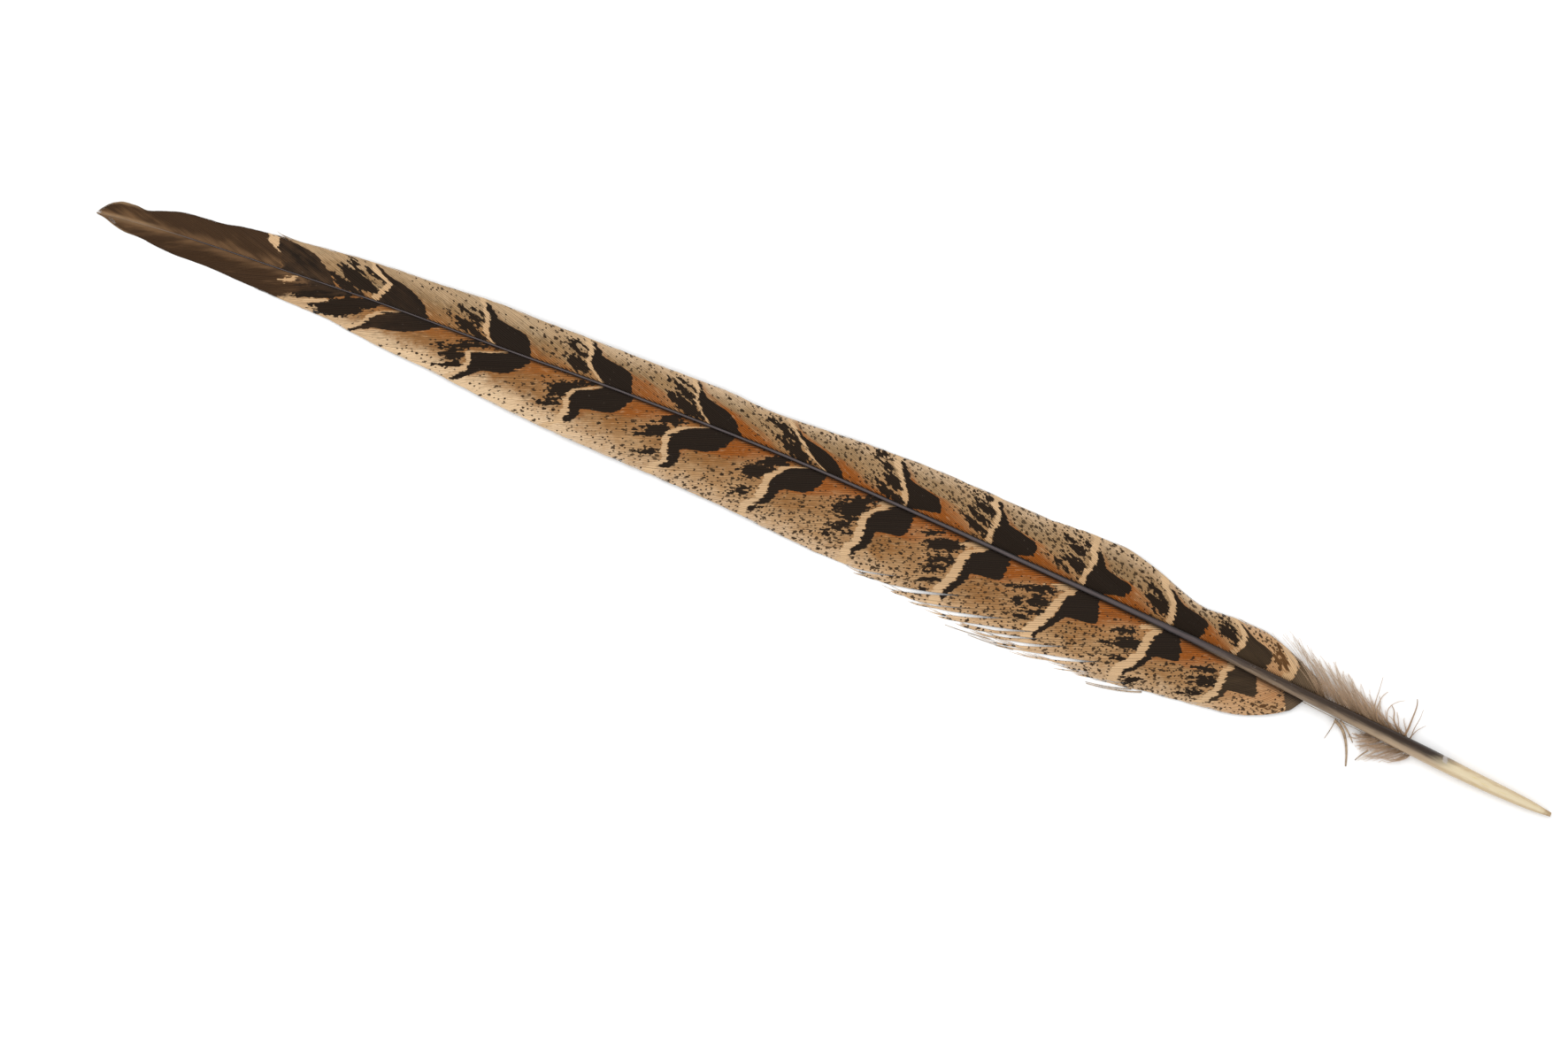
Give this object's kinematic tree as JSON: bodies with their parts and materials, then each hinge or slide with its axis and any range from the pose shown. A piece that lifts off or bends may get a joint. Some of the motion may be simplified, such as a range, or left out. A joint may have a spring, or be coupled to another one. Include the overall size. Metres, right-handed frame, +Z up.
{
  "type": "pheasant tail feather",
  "caption": "Long tapering barred tail feather with a pale bare quill, downy barbs above it and a broad and a narrow vane along a dark shaft; lies flat.",
  "frame": {"origin": "middle of the feather's footprint, on the surface that it rests on", "axes": "+X along the shaft from the tip to the quill, +Y towards the narrow vane, +Z up, out of the feather's outer side"},
  "size_m": [0.28, 0.0248, 0.0042],
  "materials": {
    "horn": "satin",
    "narrow_web": "matte",
    "broad_web": "matte",
    "down": "matte",
    "stray_barbs": "matte"
  },
  "bodies": {
    "root": {"shaft": "horn", "narrow_vane": "narrow_web", "broad_vane": "broad_web", "narrow_side_down": "down", "broad_side_down": "down", "loose_barbs": "stray_barbs"}
  },
  "joints": []
}
